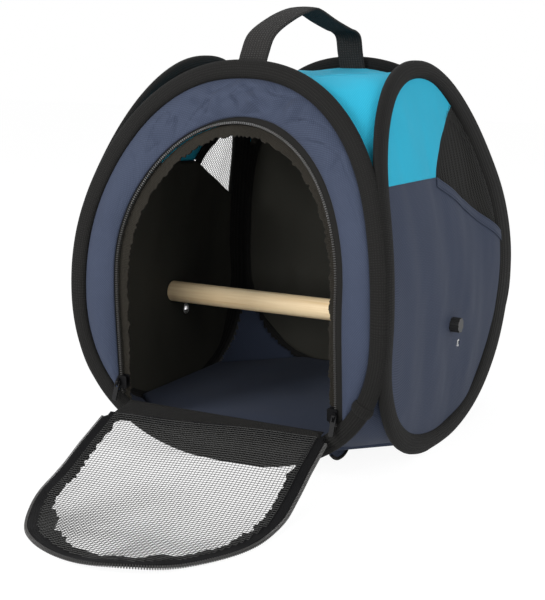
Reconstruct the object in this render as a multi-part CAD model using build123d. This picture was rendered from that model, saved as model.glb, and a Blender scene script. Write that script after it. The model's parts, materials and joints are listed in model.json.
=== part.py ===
"""Pop-up bird travel carrier: four sprung hoop walls, a zipped net door, a perch and a carry handle.

Millimetres, +Z up, resting on the ground at z = 0. The doorway wall faces -Y and +X is on the right as seen
from the front. The door lies open on the ground in front of its sill.

Each wall is one hoop of flat spring wire in a folded tape. A wall is drawn as the front wall and turned
about Z to its side. The walls lean and bulge alike, so that neighbouring tapes meet in a mitre.
"""
import os
from math import cos, pi, radians, sin, sqrt, tan

from build123d import *

# ---- walls: one profile, seen from the side, for all four ----------------------------------------
wall_base = 132.0          # from the middle of the carrier to a wall's mid-surface, at the ground
lower_lean = 4.0           # degrees outwards, below the knee
knee_height = 165.0        # where the two straight stretches would cross
upper_lean = 16.0          # degrees inwards, above the knee
knee_radius = 300.0
reach = 200.0              # longer than any wall, for cutting blocks
room_floor, room_roof = -40.0, 360.0

# ---- hoops: an egg outline, the same for all four ------------------------------------------------
hoop_half_width = 144.0
hoop_top = 320.0
hoop_drop = 1.0            # how far the outline would dip below the ground; it is cut flat there
widest_height = 126.0
upper_fullness = 2.2
lower_fullness = 2.35
hoop_points = 28
tape_width = 14.0
tape_thickness = 8.0
mitre_gap = 0.3
fold_depth = 5.0           # from the tape's outer edge to the bottom of its fold
wire_width, wire_thickness = 2.5, 1.2
clearance = 0.15           # between fabric or wire and the fold that holds it
running_gap = 0.3          # between neighbouring pieces

# ---- cloth ---------------------------------------------------------------------------------------
cloth = 1.2
lining = 0.8
lining_gap = 0.3
net_thickness = 0.8
net_hole = 12.0
net_pitch = 15.4
net_side_columns = 5       # of gaps in the door's net, on each side of its middle
net_hem = 4.0

# ---- side walls: navy below, a bright corner piece in front, a net window behind -----------------
seam_front_height = 229.0  # seam of the corner piece at the front edge
window_corner_u, window_corner_height = 0.0, 225.0      # u runs along the right wall towards the back
window_back_u, window_back_height = 130.0, 167.0
window_top_u = 72.0

# ---- top and bottom cloth ------------------------------------------------------------------------
top_sink = 10.0            # the top cloth's flat middle, below the hoops' tops
bottom_rise = 9.0          # the bottom cloth's flat middle, above the ground
sewn_inset = 10.0          # where the top and bottom cloth meet the hoops, from their outer edge
dome_skin = 2.0            # upright thickness, so that the steep corners are about as thick as the cloth
dome_steps = 4
crown_half = 12.0          # half the short edges where the flat middle runs along a hoop

# ---- floor ---------------------------------------------------------------------------------------
board_inset, mat_inset = 20.0, 8.0         # in from the walls
mat_overhang = 20.0        # at the cut corners, beyond the base board
board_thickness = 2.5
mat_thickness = 8.0
mat_round = 3.0
floor_gap = 0.3

# ---- doorway and door ----------------------------------------------------------------------------
zip_inset = 46.5           # from a hoop's outer edge, where it is widest, to the middle of the zip's chain
sill_height = 38.0
arch_spring = 150.0
arch_inset = 50.0          # from the hoop's top to the zip's top
zip_depth = 1.25           # the zip's mid-surface, inwards from the cloth's
zip_gap = 1.6              # between the two rows of teeth; the slider's post runs in it
teeth_width, teeth_thickness = 2.0, 3.0
zip_tape_width = 13.0
zip_tape_thickness = 0.8
cloth_set_back = 9.0       # the front panel's edge, outwards from the chain
lining_set_back = 18.0
hinge_tape_length = 16.0   # from the sill to the closed door's stiff edge
zip_start = 24.0           # of the door's half of the zip, above the sill
door_border_width = 12.0
door_border_thickness = 1.6
hinge_tape_inset, hinge_tape_thickness = 11.5, 1.6
hinge_stand_off = 2.5      # of the door's axis, outwards from the front wall
door_drop = 103.0          # degrees from closed to open
door_skew = 8.0            # degrees that the open door lies turned, seen from above

# ---- zip sliders and their pulls -----------------------------------------------------------------
slider_rise = 16.5         # of the parked sliders' middle, above the sill
slider_clearance = 0.6
slider_length, slider_width = 11.0, 8.6
plate_thickness = 1.1
plate_gap = 3.8            # teeth and tape run between the two plates
post_width, post_length = 0.7, 5.0
bail_length, bail_width = 6.4, 2.2
bail_shift = 2.9           # of the bail and pull, from the slider's middle, away from the door
pin_lift = 2.1             # of the pull's pin, above the outer plate
pin_radius, pin_fit = 0.8, 0.05
pull_length, pull_width, pull_thickness = 17.0, 4.2, 1.2
pull_slot_reach = 4.2      # from the pin to the far end of the slot round the bail
pull_tilt = 26.0           # degrees out from the wall, at rest

# ---- perch ---------------------------------------------------------------------------------------
perch_radius = 9.5
perch_y, perch_height = 0.0, 104.0
spare_hole_y, spare_hole_height = 22.0, 83.0
stud_radius, stud_in_perch = 2.0, 22.0
stud_fit = 0.05
eyelet_bore, eyelet_barrel, eyelet_flange = 2.4, 3.1, 5.0
flange_thickness = 0.6
lean_allowance = 0.5       # the wall leans across an eyelet's flange by about this much
knob_radius, knob_length, knob_blind = 6.3, 8.0, 6.5
knob_flutes, flute_radius = 8, 1.3

# ---- carry handle --------------------------------------------------------------------------------
strap_width, strap_thickness = 25.0, 2.0
strap_peak = 361.0
strap_foot_gap = 0.7       # above the top cloth, and from the tape it is sewn to
strap_front_y, strap_front_height = -86.0, 336.0
strap_back_y, strap_back_height = 82.0, 338.0
strap_peak_half = 34.0
strap_bend = 16.0


def wall_distance(height, outset=0.0):
    """Distance from the middle to a wall's surface, offset outwards, at a height."""
    low, up = radians(lower_lean), radians(upper_lean)
    knee = wall_base + tan(low) * knee_height
    tangent = knee_radius * tan((low + up) / 2)
    arc_start, arc_end = knee_height - tangent * cos(low), knee_height + tangent * cos(up)
    if height <= arc_start:
        return wall_base + tan(low) * height + outset / cos(low)
    if height >= arc_end:
        return knee - tan(up) * (height - knee_height) + outset / cos(up)
    centre_y = knee - tangent * sin(low) - knee_radius * cos(low)
    centre_height = arc_start + knee_radius * sin(low)
    return centre_y + sqrt((knee_radius + outset) ** 2 - (height - centre_height) ** 2)


def between_walls(outset):
    """The space between the front and back walls, offset outwards, as long as reach each way along X."""
    low, up = radians(lower_lean), radians(upper_lean)
    knee_at = knee_height + outset * (1 / cos(up) - 1 / cos(low)) / (tan(low) + tan(up))
    foot = wall_base + outset / cos(low) + tan(low) * room_floor
    knee = foot + tan(low) * (knee_at - room_floor)
    head = knee - tan(up) * (room_roof - knee_at)
    outline = Polygon((-foot, room_floor), (foot, room_floor), (knee, knee_at), (head, room_roof),
                      (-head, room_roof), (-knee, knee_at), align=None)
    knees = outline.vertices().filter_by(lambda vertex: abs(vertex.Y - knee_at) < 1)
    return extrude(Plane.YZ * fillet(knees, knee_radius + outset), amount=reach, both=True)


def sheet(inner, outer):
    """The front wall as a curved sheet between two offsets of its mid-surface."""
    front_half = Pos(0, -reach / 2, 0) * Box(2 * reach, reach, 4 * reach)
    return (between_walls(outer) - between_walls(inner)) & front_half


def egg(inset, height):
    """Half the width of a hoop, drawn in from its outer edge, at a height; zero above and below it."""
    upper = height >= widest_height
    fullness = upper_fullness if upper else lower_fullness
    half_height = (hoop_top - widest_height if upper else widest_height + hoop_drop) - inset
    rise = min(abs(height - widest_height) / half_height, 1.0)
    return (hoop_half_width - inset) * (1 - rise ** fullness) ** (1 / fullness)


def hoop_block(inset):
    """A prism with a hoop's outline, from the middle of the carrier out through the front wall."""
    points = []
    for step in range(hoop_points):
        angle = 2 * pi * step / hoop_points
        upper = sin(angle) >= 0
        fullness = upper_fullness if upper else lower_fullness
        half_height = (hoop_top - widest_height if upper else widest_height + hoop_drop) - inset
        across = abs(cos(angle)) ** (2 / fullness) * (1 if cos(angle) >= 0 else -1)
        rise = abs(sin(angle)) ** (2 / fullness) * (1 if upper else -1)
        points.append(((hoop_half_width - inset) * across, widest_height + half_height * rise))
    return extrude(Plane.XZ * make_face(Spline(points, periodic=True)), amount=reach)


def arch_block(outset, low=sill_height):
    """A prism with the doorway's outline, offset outwards from the zip's chain, with its foot at low."""
    half = zip_half + outset
    head = Pos(0, arch_spring) * Ellipse(half, arch_rise + outset)
    head &= Pos(0, arch_spring + reach / 2) * Rectangle(2 * reach, reach)
    stem = Pos(0, (low + arch_spring) / 2) * Rectangle(2 * half, arch_spring - low)
    return extrude(Plane.XZ * (head + stem), amount=reach)


def in_arch(u, height, outset):
    """Whether a point of the front wall lies inside the doorway's outline, offset outwards."""
    rise = max(height - arch_spring, 0) / (arch_rise + outset)
    return (u / (zip_half + outset)) ** 2 + rise ** 2 <= 1


def wall_prism(points):
    """A prism through the front wall over a polygon of points (along the wall, height)."""
    return extrude(Plane.XZ * Polygon(*points, align=None), amount=reach)


def hole(u, height, radius):
    """A round cutter through the front wall."""
    return Pos(u, -reach / 2, height) * Rot(90, 0, 0) * Cylinder(radius, reach)


def left_of(start, end, u, height):
    """How far a point lies to the left of the line from start to end."""
    along_u, along_height = end[0] - start[0], end[1] - start[1]
    cross = along_u * (height - start[1]) - along_height * (u - start[0])
    return cross / sqrt(along_u ** 2 + along_height ** 2)


def net_gaps(is_clear, low_u, high_u, low_height, high_height):
    """A prism for each square gap of a net whose four corners are all clear of its edges."""
    gaps = []
    half = net_hole / 2
    columns = int((high_u - low_u) / net_pitch)
    rows = int((high_height - low_height) / net_pitch)
    for column in range(columns + 1):
        for row in range(rows + 1):
            u, height = low_u + column * net_pitch, low_height + row * net_pitch
            corners = [(u - half, height - half), (u + half, height - half),
                       (u - half, height + half), (u + half, height + half)]
            if all(is_clear(*place) for place in corners):
                gaps.append(Pos(u, height) * Rectangle(net_hole, net_hole))
    return [extrude(Plane.XZ * gap, amount=reach) for gap in gaps]


mitre_start = mitre_gap / sqrt(2)
front_wedge = extrude(Polygon((0, -mitre_start), (-reach, -reach - mitre_start),
                              (reach, -reach - mitre_start), align=None), amount=2 * reach, both=True)
above_ground = Pos(0, 0, reach) * Box(4 * reach, 4 * reach, 2 * reach)
half_cloth, half_tape = cloth / 2, tape_thickness / 2
wire_inset = fold_depth + clearance
cloth_inset = wire_inset + wire_width + clearance
open_inset = tape_width + running_gap
lining_outer = -half_cloth - lining_gap
lining_inner = lining_outer - lining
quarter_turns = {"front": 0, "right": 90, "back": 180, "left": 270}
zip_half = hoop_half_width - zip_inset
arch_rise = hoop_top - arch_inset - arch_spring
door_start = sill_height + hinge_tape_length
nodes = {}


# ---- hoops: a folded tape with the spring wire in its fold ---------------------------------------
fold = sheet(-half_cloth - clearance, half_cloth + clearance) & hoop_block(fold_depth)
ring = hoop_block(0) - hoop_block(tape_width)
tape = (sheet(-half_tape, half_tape) & ring & front_wedge & above_ground) - fold
wire_ring = hoop_block(wire_inset) - hoop_block(wire_inset + wire_width)
wire = sheet(-wire_thickness / 2, wire_thickness / 2) & wire_ring
for side, turn in quarter_turns.items():
    nodes[side + "_hoop_tape"] = Rot(0, 0, turn) * tape
    nodes[side + "_hoop_wire"] = Rot(0, 0, turn) * wire

# ---- front wall: panel and lining round the doorway, and the zip's half on this side -------------
wall_cloth = sheet(-half_cloth, half_cloth) & hoop_block(cloth_inset)
wall_lining = sheet(lining_inner, lining_outer) & hoop_block(open_inset)
clear_of_tape = hoop_block(open_inset)
under_tape = hoop_block(tape_width - 2)
nodes["front_panel"] = wall_cloth - (arch_block(cloth_set_back) & under_tape)
nodes["front_lining"] = wall_lining - arch_block(lining_set_back, sill_height - 2)

teeth_start = zip_gap / 2
tape_start = teeth_start + teeth_width
half_teeth, half_zip = teeth_thickness / 2, zip_tape_thickness / 2
zip_ring = arch_block(tape_start + zip_tape_width) - arch_block(tape_start, 0)
teeth_ring = arch_block(tape_start) - arch_block(teeth_start, 0)
nodes["doorway_zip_tape"] = sheet(-zip_depth - half_zip, -zip_depth + half_zip) & zip_ring & clear_of_tape
nodes["doorway_zip_teeth"] = (
    sheet(-zip_depth - half_teeth, -zip_depth + half_teeth) & teeth_ring & clear_of_tape)

# ---- back wall -----------------------------------------------------------------------------------
nodes["back_panel"] = Rot(0, 0, 180) * wall_cloth
nodes["back_lining"] = Rot(0, 0, 180) * wall_lining

# ---- right wall, and the left one as its mirror image --------------------------------------------
corner = (window_corner_u, window_corner_height)
window_back = (window_back_u, window_back_height)
window_top = (window_top_u, hoop_top)
seam_front = (-reach, seam_front_height)
lower_area = [(-reach, room_floor), (reach, room_floor), (reach, window_back_height), window_back, corner,
              seam_front]
corner_area = [seam_front, corner, window_top, (window_top_u, room_roof), (-reach, room_roof)]
window_area = [corner, window_back, (reach, window_back_height), (reach, room_roof),
               (window_top_u, room_roof), window_top]
seams = []
for start, end in [(seam_front, corner), (corner, window_back), (corner, window_top)]:
    seam = Line(start, end)
    seams.append(extrude(Plane.XZ * trace(seam, running_gap), amount=reach))

perch_hole = hole(perch_y, perch_height, eyelet_barrel)
perch_holes = perch_hole + hole(spare_hole_y, spare_hole_height, eyelet_barrel)
side_cloth = wall_cloth - seams - perch_holes
net_sheet = sheet(-net_thickness / 2, net_thickness / 2) & hoop_block(cloth_inset) & wall_prism(window_area)


def in_window(u, height):
    above_seam = left_of(corner, window_back, u, height) > net_hem
    behind_split = left_of(window_top, corner, u, height) > net_hem
    above_edge = height > window_back_height + net_hem
    return above_seam and behind_split and above_edge and abs(u) < egg(open_inset + net_hem, height)


window_first = window_corner_u + net_hem + net_hole / 2
window_low = window_back_height + net_hem + net_hole / 2
window_gaps = net_gaps(in_window, window_first, hoop_half_width, window_low, hoop_top)
side_pieces = {
    "lower_panel": side_cloth & wall_prism(lower_area),
    "upper_panel": side_cloth & wall_prism(corner_area),
    "window_net": net_sheet - seams - window_gaps,
    "lining": (wall_lining - perch_holes) - wall_prism(window_area),
}
for piece, solid in side_pieces.items():
    right = Rot(0, 0, 90) * solid
    nodes["right_" + piece] = right
    nodes["left_" + piece] = mirror(right, about=Plane.YZ)


# ---- top and bottom cloth: octagons between the hoops, from where they part ----------------------
def octagon(height, half, distance):
    """Corners of a level octagon: its long sides lie along the walls, its short ones between the hoops."""
    across = [(half, -distance), (distance, -half), (distance, half), (half, distance)]
    across += [(-half, distance), (-distance, half), (-distance, -half), (-half, -distance)]
    return [(x, y, height) for x, y in across]


def parting_height(low, high):
    """Where neighbouring hoops part: their half width falls below the walls' distance."""
    for _ in range(40):
        middle = (low + high) / 2
        if egg(0, middle) < wall_distance(middle):
            high = middle
        else:
            low = middle
    return high


def dome(start, end, skin):
    """A shell between the hoops from where they part to a level middle, with a flat facet for each side."""
    rings = []
    for step in range(dome_steps + 1):
        height = start + (end - start) * sin(pi / 2 * step / dome_steps)
        half = max(egg(sewn_inset, height), crown_half)
        rings.append(octagon(height, half, wall_distance(height)))
    facets = [rings[0], rings[-1]]
    for lower, upper in zip(rings, rings[1:]):
        for side in range(8):
            facets.append([lower[side - 1], lower[side], upper[side], upper[side - 1]])
    solid = Solid(Shell([Face(Wire.make_polygon(facet)) for facet in facets]))
    shell = solid - Pos(0, 0, skin) * solid
    room = between_walls(-half_tape - running_gap)
    return shell & room & (Rot(0, 0, 90) * room)


top_parting = parting_height(widest_height, hoop_top - sewn_inset)
bottom_parting = parting_height(widest_height, bottom_rise)
nodes["top_panel"] = dome(top_parting, hoop_top - top_sink, -dome_skin)
nodes["bottom_panel"] = dome(bottom_parting, bottom_rise, dome_skin)


# ---- floor ---------------------------------------------------------------------------------------
def cut_square(half, corner_sum, height, thickness):
    """A flat plate between the walls with its corners cut, from a height upwards."""
    corners = octagon(height, corner_sum - half, half)
    return extrude(Face(Wire.make_polygon(corners)), amount=thickness, dir=(0, 0, 1))


board_corner = wall_distance(bottom_rise) + crown_half
mat_corner = board_corner + mat_overhang
board_height = bottom_rise + dome_skin + floor_gap
mat_height = board_height + board_thickness + floor_gap
mat = cut_square(wall_base - mat_inset, mat_corner, mat_height, mat_thickness)
nodes["base_board"] = cut_square(wall_base - board_inset, board_corner, board_height, board_thickness)
nodes["floor_mat"] = fillet(mat.edges().group_by(Axis.Z)[-1], mat_round)


# ---- door: drawn shut in the front wall, then laid open about its hinge --------------------------
hinge_y = -(wall_distance(sill_height) + hinge_stand_off)
hinge = Pos(0, hinge_y, sill_height)
swing = Rot(0, 0, door_skew) * Rot(door_drop, 0, 0)
laid_open = hinge * swing * hinge.inverse()
half_border = door_border_thickness / 2
border_out, border_in = -tape_start, -tape_start - door_border_width
border_ring = arch_block(border_out, door_start) - arch_block(border_in, door_start + door_border_width)
door_teeth_ring = arch_block(-teeth_start, sill_height + zip_start) - arch_block(-tape_start, 0)
net_outset = border_out - 2
net_face = -zip_depth - half_border - clearance
door_low = door_start + door_border_width
door_gaps = net_gaps(lambda u, height: in_arch(u, height, border_in - 1) and height > door_low + 1,
                     -net_pitch * net_side_columns, net_pitch * net_side_columns,
                     door_low + 1 + net_hole / 2, hoop_top)
slider_top = sill_height + slider_rise + slider_length / 2 + slider_clearance
between_sliders = 2 * (zip_half - slider_width / 2 - slider_clearance)
corners_cut = Box(4 * reach, reach, 2 * reach) - Box(between_sliders, reach, 2 * reach)
corners_cut = Pos(0, -reach / 2, slider_top - reach) * corners_cut
door_border = (sheet(-zip_depth - half_border, -zip_depth + half_border) & border_ring) - corners_cut
door_teeth = sheet(-zip_depth - half_teeth, -zip_depth + half_teeth) & door_teeth_ring
door_net = (sheet(net_face - net_thickness, net_face) & arch_block(net_outset, door_start + 2)) - door_gaps
nodes["door_border"] = laid_open * door_border
nodes["door_zip_teeth"] = laid_open * door_teeth
nodes["door_net"] = laid_open * door_net

root_y = -(wall_distance(sill_height - 1.2, half_cloth) + clearance)
root = Plane(origin=(0, root_y, sill_height - 1.2), x_dir=(1, 0, 0), z_dir=(0, -1, 0))
edge_y = -wall_distance(door_start, -zip_depth)
edge = Plane(origin=(0, edge_y, door_start - running_gap), x_dir=(1, 0, 0), z_dir=(0, 0, 1))
tape_section = Rectangle(2 * (zip_half - hinge_tape_inset), hinge_tape_thickness)
nodes["door_hinge_tape"] = loft([root * tape_section, laid_open * (edge * tape_section)], ruled=True)


# ---- zip sliders and pulls: drawn about the chain's middle, at the right of the doorway ----------
plate_reach = plate_gap / 2 + plate_thickness
pin_depth = -(plate_reach + pin_lift)
plates = Box(slider_width, 2 * plate_reach, slider_length)
plates -= Box(2 * slider_width, plate_gap, 2 * slider_length)
plates = fillet(plates.edges().filter_by(Axis.Y), 1.5)
post = Pos(0, 0, slider_length / 2 - post_length / 2) * Box(post_width, plate_gap + 0.4, post_length)
bail = Pos(0, pin_depth + pin_lift / 2, 0) * Box(bail_width, pin_lift, bail_length)
bail += Pos(0, pin_depth, 0) * Rot(0, 90, 0) * Cylinder(pin_radius + 1.2, bail_width)
bail -= Pos(0, pin_depth, 0) * Rot(0, 90, 0) * Cylinder(pin_radius + pin_fit, 2 * bail_width)
slider = plates + post + Pos(bail_shift, 0, 0) * bail

tab = Pos(0, 0, -pull_length / 2 + 1.6) * Box(pull_width, pull_thickness, pull_length)
tab = fillet(tab.edges().filter_by(Axis.Y), 1.4)
slot_middle = (pull_slot_reach - 2.2) / 2
slot = Pos(0, 0, -slot_middle) * Box(bail_width + 0.4, 2 * pull_thickness, pull_slot_reach + 2.2)
pull = tab - slot + Rot(0, 90, 0) * Cylinder(pin_radius, pull_width)
pull = Pos(bail_shift, pin_depth, 0) * Rot(-pull_tilt, 0, 0) * pull

slider_height = sill_height + slider_rise
slider_y = -wall_distance(slider_height, -zip_depth)
parked = Pos(zip_half, slider_y, slider_height) * Rot(lower_lean, 0, 0)
nodes["zip_slider_right"] = parked * slider
nodes["zip_pull_right"] = parked * pull
nodes["zip_slider_left"] = mirror(parked * slider, about=Plane.YZ)
nodes["zip_pull_left"] = mirror(parked * pull, about=Plane.YZ)

# ---- perch, its screws and knobs, and the eyelets ------------------------------------------------
flange_in = lining_inner - flange_thickness
perch_end = wall_distance(perch_height - eyelet_flange, flange_in) - running_gap
perch = Rot(0, 90, 0) * Cylinder(perch_radius, 2 * perch_end)
stud_start = perch_end - stud_in_perch
knob_start = wall_distance(perch_height, half_cloth + flange_thickness) + lean_allowance
stud_end = knob_start + knob_blind - running_gap
for sign in (-1, 1):
    bore = Pos(sign * perch_end, 0, 0) * Rot(0, 90, 0)
    perch -= bore * Cylinder(stud_radius + stud_fit, 2 * (stud_in_perch + running_gap))
perch = chamfer(perch.edges().filter_by(GeomType.CIRCLE).group_by(SortBy.RADIUS)[-1], 0.8)
at_perch = Pos(0, perch_y, perch_height)
nodes["perch"] = at_perch * perch

stud = Pos((stud_start + stud_end) / 2, 0, 0) * Rot(0, 90, 0) * Cylinder(stud_radius, stud_end - stud_start)
knob = Rot(0, 90, 0) * Cylinder(knob_radius, knob_length)
for flute in range(knob_flutes):
    spoke = Rot(360 * flute / knob_flutes, 0, 0) * Pos(0, knob_radius + 0.5, 0) * Rot(0, 90, 0)
    knob -= spoke * Cylinder(flute_radius, 2 * knob_length)
knob = Pos(knob_start + knob_length / 2, 0, 0) * knob
blind = Pos(knob_start, 0, 0) * Rot(0, 90, 0) * Cylinder(stud_radius + stud_fit, 2 * knob_blind)
knob -= blind
for side, turn in (("right", 0), ("left", 180)):
    nodes["perch_screw_" + side] = at_perch * Rot(0, 0, turn) * stud
    nodes["perch_knob_" + side] = at_perch * Rot(0, 0, turn) * knob

inner_face, outer_face = lining_inner, half_cloth
barrel = Pos(0, 0, (inner_face + outer_face) / 2) * Cylinder(
    eyelet_barrel - clearance, outer_face - inner_face + 2 * flange_thickness)
inner_flange = Pos(0, 0, inner_face - flange_thickness / 2) * Cylinder(eyelet_flange, flange_thickness)
outer_flange = Pos(0, 0, outer_face + flange_thickness / 2) * Cylinder(eyelet_flange, flange_thickness)
eyelet = (barrel + inner_flange + outer_flange) - Cylinder(eyelet_bore, 20)
eyelet_places = []
for y, height in ((perch_y, perch_height), (spare_hole_y, spare_hole_height)):
    place = Pos(wall_distance(height), y, height) * Rot(0, 90 + lower_lean, 0) * eyelet
    eyelet_places += [place, mirror(place, about=Plane.YZ)]
nodes["eyelets"] = Compound(eyelet_places)

# ---- carry handle: one strap between the front and back hoops' tops ------------------------------
foot_height = hoop_top - top_sink + strap_foot_gap
foot_y = wall_distance(foot_height, -half_tape) - strap_foot_gap - strap_thickness
path = FilletPolyline((-foot_y, foot_height), (strap_front_y, strap_front_height),
                      (-strap_peak_half, strap_peak), (strap_peak_half, strap_peak - 3),
                      (strap_back_y, strap_back_height), (foot_y, foot_height), radius=strap_bend)
nodes["handle_strap"] = extrude(Plane.YZ * trace(path, strap_thickness), amount=strap_width / 2, both=True)

# ---- the origin goes to the middle of the whole carrier's footprint, on the ground ---------------
back_most = nodes["back_hoop_tape"].bounding_box().max.Y
front_most = nodes["door_zip_teeth"].bounding_box().min.Y
shift = Pos(0, -(back_most + front_most) / 2, 0)
os.makedirs("parts", exist_ok=True)
for name, solid in nodes.items():
    export_step(shift * solid, f"parts/{name}.step")
print(f"shift {-(back_most + front_most) / 2:.4f}, front {front_most:.3f}, back {back_most:.3f}")
print(f"hinge at y {hinge_y:.4f}, slider at y {slider_y:.4f}, knob at x {knob_start:.3f}")
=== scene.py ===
import bpy
import json
from math import cos, exp, pi, radians, sin, sqrt, tan
from mathutils import Matrix, Vector, noise


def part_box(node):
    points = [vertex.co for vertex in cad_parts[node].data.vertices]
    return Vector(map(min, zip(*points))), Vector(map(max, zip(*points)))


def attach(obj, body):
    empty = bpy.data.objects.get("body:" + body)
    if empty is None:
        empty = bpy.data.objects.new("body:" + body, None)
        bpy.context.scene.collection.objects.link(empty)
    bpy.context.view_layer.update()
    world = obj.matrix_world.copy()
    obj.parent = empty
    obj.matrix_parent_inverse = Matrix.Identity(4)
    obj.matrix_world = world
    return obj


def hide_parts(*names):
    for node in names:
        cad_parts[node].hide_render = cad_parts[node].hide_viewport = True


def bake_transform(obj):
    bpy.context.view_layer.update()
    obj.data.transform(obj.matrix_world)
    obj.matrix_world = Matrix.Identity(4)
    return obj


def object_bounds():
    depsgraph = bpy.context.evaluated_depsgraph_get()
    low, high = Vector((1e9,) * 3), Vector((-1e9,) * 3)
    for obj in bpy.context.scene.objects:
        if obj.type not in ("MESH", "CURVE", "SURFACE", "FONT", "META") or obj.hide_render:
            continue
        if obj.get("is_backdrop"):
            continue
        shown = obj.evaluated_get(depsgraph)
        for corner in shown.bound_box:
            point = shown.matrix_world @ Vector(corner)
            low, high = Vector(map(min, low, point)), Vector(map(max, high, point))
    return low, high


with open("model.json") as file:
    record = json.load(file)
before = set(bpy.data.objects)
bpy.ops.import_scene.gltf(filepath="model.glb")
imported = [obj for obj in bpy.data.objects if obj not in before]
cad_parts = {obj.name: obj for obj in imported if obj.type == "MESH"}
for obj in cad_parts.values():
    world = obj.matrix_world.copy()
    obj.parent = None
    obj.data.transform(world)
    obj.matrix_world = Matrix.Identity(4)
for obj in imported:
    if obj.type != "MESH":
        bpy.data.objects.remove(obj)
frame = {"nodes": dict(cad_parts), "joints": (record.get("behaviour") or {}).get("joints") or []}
cad_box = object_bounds()
bpy.ops.object.select_all(action="DESELECT")


# Hoop tapes: each wall's edge is a black woven tape, folded over a loop of flat spring wire and sewn.
# The tape is a little fuller than the flat fold and wobbles where the wire pulls it round.
# Four of them, turned about the middle of the carrier, press against each other in the corners.
middle_y = (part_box("left_hoop_tape")[0].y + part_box("left_hoop_tape")[1].y) / 2
turns = {"front": 0, "right": 90, "back": 180, "left": 270}
wall_foot, knee_height, knee_radius = 0.132, 0.165, 0.3
lower_lean, upper_lean = radians(4), radians(16)
hoop_half, hoop_top, widest = 0.144, 0.32, 0.126


def wall_at(height):
    """Distance of a wall's middle surface from the middle of the carrier."""
    knee = wall_foot + tan(lower_lean) * knee_height
    tangent = knee_radius * tan((lower_lean + upper_lean) / 2)
    start, end = knee_height - tangent * cos(lower_lean), knee_height + tangent * cos(upper_lean)
    if height <= start:
        return wall_foot + tan(lower_lean) * height
    if height >= end:
        return knee - tan(upper_lean) * (height - knee_height)
    centre = knee - tangent * sin(lower_lean) - knee_radius * cos(lower_lean)
    return centre + sqrt(knee_radius ** 2 - (height - start - knee_radius * sin(lower_lean)) ** 2)


def on_wall(side, u, height, outset=0.0):
    """A point of a wall: u along it, seen from outside, and outset from its middle surface."""
    lean = (wall_at(height + 0.001) - wall_at(height - 0.001)) / 0.002
    out = outset / sqrt(1 + lean * lean)
    place = Vector((u, -(wall_at(height) + out), height - out * lean))
    return Matrix.Rotation(radians(turns[side]), 3, "Z") @ place + Vector((0, middle_y, 0))


def hoop_point(angle, inset):
    """A point of a hoop's egg outline (along the wall, height), drawn in from its outer edge."""
    fullness = 2.2 if sin(angle) >= 0 else 2.35
    tall = (hoop_top - widest if sin(angle) >= 0 else widest + 0.001) - inset
    u = (hoop_half - inset) * abs(cos(angle)) ** (2 / fullness)
    rise = tall * abs(sin(angle)) ** (2 / fullness)
    return (u if cos(angle) >= 0 else -u), widest + (rise if sin(angle) >= 0 else -rise)


def lay(name, place, across, along, size, closed=(False, False), body="cabin"):
    """A woven surface: place(s, t) for s and t from 0 to 1, with its UV in metres of cloth."""
    columns, rows = across + (not closed[0]), along + (not closed[1])
    points = [place(i / across, j / along) for j in range(rows) for i in range(columns)]
    faces, marks = [], []
    for j in range(along):
        for i in range(across):
            near, far = i, (i + 1) % columns
            low, high = j * columns, ((j + 1) % rows) * columns
            faces.append((low + near, low + far, high + far, high + near))
            marks += [(i, j), (i + 1, j), (i + 1, j + 1), (i, j + 1)]
    mesh = bpy.data.meshes.new(name)
    mesh.from_pydata(points, [], faces)
    weave = mesh.uv_layers.new(name="weave")
    for corner, (i, j) in enumerate(marks):
        weave.data[corner].uv = (i / across * size[0], j / along * size[1])
    mesh.shade_smooth()
    piece = bpy.data.objects.new(name, mesh)
    bpy.context.collection.objects.link(piece)
    bpy.context.view_layer.update()
    return piece


def thicken(piece, thickness, offset=0.0):
    """Gives a sheet its thickness and makes it the finished mesh."""
    solid = piece.modifiers.new("thickness", "SOLIDIFY")
    solid.thickness, solid.offset = thickness, offset
    solid.use_even_offset = False
    bpy.context.view_layer.objects.active = piece
    bpy.ops.object.modifier_apply(modifier=solid.name)
    return piece


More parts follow.
